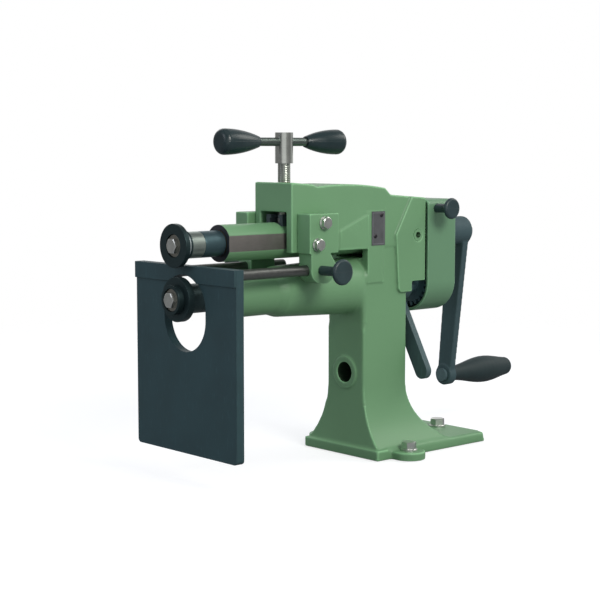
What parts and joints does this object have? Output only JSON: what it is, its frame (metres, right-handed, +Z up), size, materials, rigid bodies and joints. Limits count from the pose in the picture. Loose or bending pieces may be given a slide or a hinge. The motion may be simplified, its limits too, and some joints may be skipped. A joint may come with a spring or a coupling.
{
  "type": "beading machine",
  "caption": "Hand-cranked bench beading machine: forming rolls on geared shafts in a cast horn and a tilting arm, T-handle pressure screw, sliding plate fence.",
  "frame": {"origin": "centre of the three-hole bench bolt circle, on the underside of the base", "axes": "+Z up, +X from the rolls towards the crank along the shafts, +Y to the side away from the name plate"},
  "size_m": [0.4772, 0.1532, 0.3183],
  "materials": {
    "green_enamel": "satin",
    "cover_enamel": "satin",
    "fence_black": "matte",
    "black_steel": "satin",
    "bright_steel": "satin",
    "black_plastic": "gloss",
    "bronze": "satin",
    "plate_metal": "satin"
  },
  "bodies": {
    "frame": {"body_casting": "green_enamel", "gear_cover": "cover_enamel", "cover_bolt": "bright_steel", "name_plate": "plate_metal", "plate_rivets": "bright_steel", "rod_bracket_near": "green_enamel", "rod_bracket_far": "green_enamel", "bracket_bolts": "bright_steel", "bracket_washers": "bright_steel", "spindle_nut": "bronze", "lower_bush_front": "bronze", "lower_bush_rear": "bronze", "pivot_screws": "black_steel"},
    "arm": {"upper_arm": "green_enamel", "upper_bush_front": "bronze", "upper_bush_rear": "bronze", "thrust_saddle": "black_steel", "saddle_screws": "bright_steel"},
    "upper_drive": {"upper_shaft": "bright_steel", "upper_collar": "black_steel", "upper_spacer": "bright_steel", "upper_roll": "black_steel", "upper_roll_key": "bright_steel", "upper_roll_washer": "bright_steel", "upper_roll_bolt": "bright_steel", "upper_gear": "black_steel", "upper_gear_key": "bright_steel", "crank_arm": "black_steel", "crank_key": "bright_steel", "crank_washer": "bright_steel", "crank_bolt": "bright_steel", "grip_pin": "bright_steel"},
    "grip": {"crank_grip": "black_plastic"},
    "lower_slide": {"thrust_sleeve": "bright_steel"},
    "lower_drive": {"lower_shaft": "bright_steel", "lower_spacer": "black_steel", "lower_roll": "black_steel", "lower_roll_key": "bright_steel", "lower_roll_washer": "bright_steel", "lower_roll_bolt": "bright_steel", "lower_gear": "black_steel", "lower_gear_key": "bright_steel", "lower_gear_nut": "bright_steel"},
    "lever": {"adjusting_ring": "black_steel", "adjusting_lever": "black_steel"},
    "fence": {"fence_plate": "fence_black", "fence_strip": "fence_black", "fence_rods": "bright_steel"},
    "near_clamp": {"rod_knob_near": "black_plastic", "rod_knob_screw_near": "bright_steel"},
    "far_clamp": {"rod_knob_far": "black_plastic", "rod_knob_screw_far": "bright_steel"},
    "cover_clamp": {"cover_knob": "black_plastic", "cover_knob_screw": "bright_steel"},
    "thrust": {"thrust_button": "bright_steel"},
    "screw": {"spindle": "bright_steel", "spindle_hub": "bright_steel", "tee_bar": "bright_steel", "tee_grips": "black_plastic"}
  },
  "joints": [
    {"name": "arm_tilt", "type": "hinge", "parent": "frame", "child": "arm", "pos_m": [0.0085, 0, 0.2145], "axis": [0, -1, 0], "range_deg": [0, 0.83]},
    {"name": "crank_turn", "type": "hinge", "parent": "arm", "child": "upper_drive", "pos_m": [0, 0, 0.2145], "axis": [1, 0, 0], "continuous": true},
    {"name": "grip_spin", "type": "hinge", "parent": "upper_drive", "child": "grip", "pos_m": [0.15, 0.01566, 0.06029], "axis": [1, 0, 0], "continuous": true},
    {"name": "spindle_feed", "type": "slide", "parent": "frame", "child": "thrust", "axis": [0, 0, -1], "range_m": [0, 0.0022]},
    {"name": "spindle_turn", "type": "hinge", "parent": "thrust", "child": "screw", "pos_m": [-0.143, 0, 0.28], "axis": [0, 0, -1], "range_deg": [0, 446]},
    {"name": "lower_feed", "type": "slide", "parent": "frame", "child": "lower_slide", "axis": [1, 0, 0], "range_m": [-0.00101, 0.00101]},
    {"name": "lower_turn", "type": "hinge", "parent": "lower_slide", "child": "lower_drive", "pos_m": [0, 0, 0.1665], "axis": [1, 0, 0], "continuous": true},
    {"name": "lever_swing", "type": "hinge", "parent": "frame", "child": "lever", "pos_m": [0.008, 0, 0.1665], "axis": [1, 0, 0], "range_deg": [-25, 25]},
    {"name": "fence_slide", "type": "slide", "parent": "frame", "child": "fence", "axis": [1, 0, 0], "range_m": [-0.0035, 0.026]},
    {"name": "near_knob_turn", "type": "hinge", "parent": "frame", "child": "near_clamp", "pos_m": [-0.1358, -0.06, 0.188], "axis": [0, -1, 0], "range_deg": [0, 360]},
    {"name": "far_knob_turn", "type": "hinge", "parent": "frame", "child": "far_clamp", "pos_m": [-0.1442, 0.06, 0.188], "axis": [0, 1, 0], "range_deg": [0, 360]},
    {"name": "cover_knob_turn", "type": "hinge", "parent": "frame", "child": "cover_clamp", "pos_m": [0.033, -0.045, 0.24075], "axis": [0, -1, 0], "range_deg": [0, 360]}
  ],
  "couplings": [
    {"joint": "spindle_feed", "follows": "spindle_turn", "m_per_rad": 0.00027852},
    {"joint": "arm_tilt", "follows": "spindle_turn", "ratio": 0.0018384},
    {"joint": "lower_turn", "follows": "crank_turn", "ratio": -1},
    {"joint": "lower_feed", "follows": "lever_swing", "m_per_rad": 0.0022918}
  ]
}
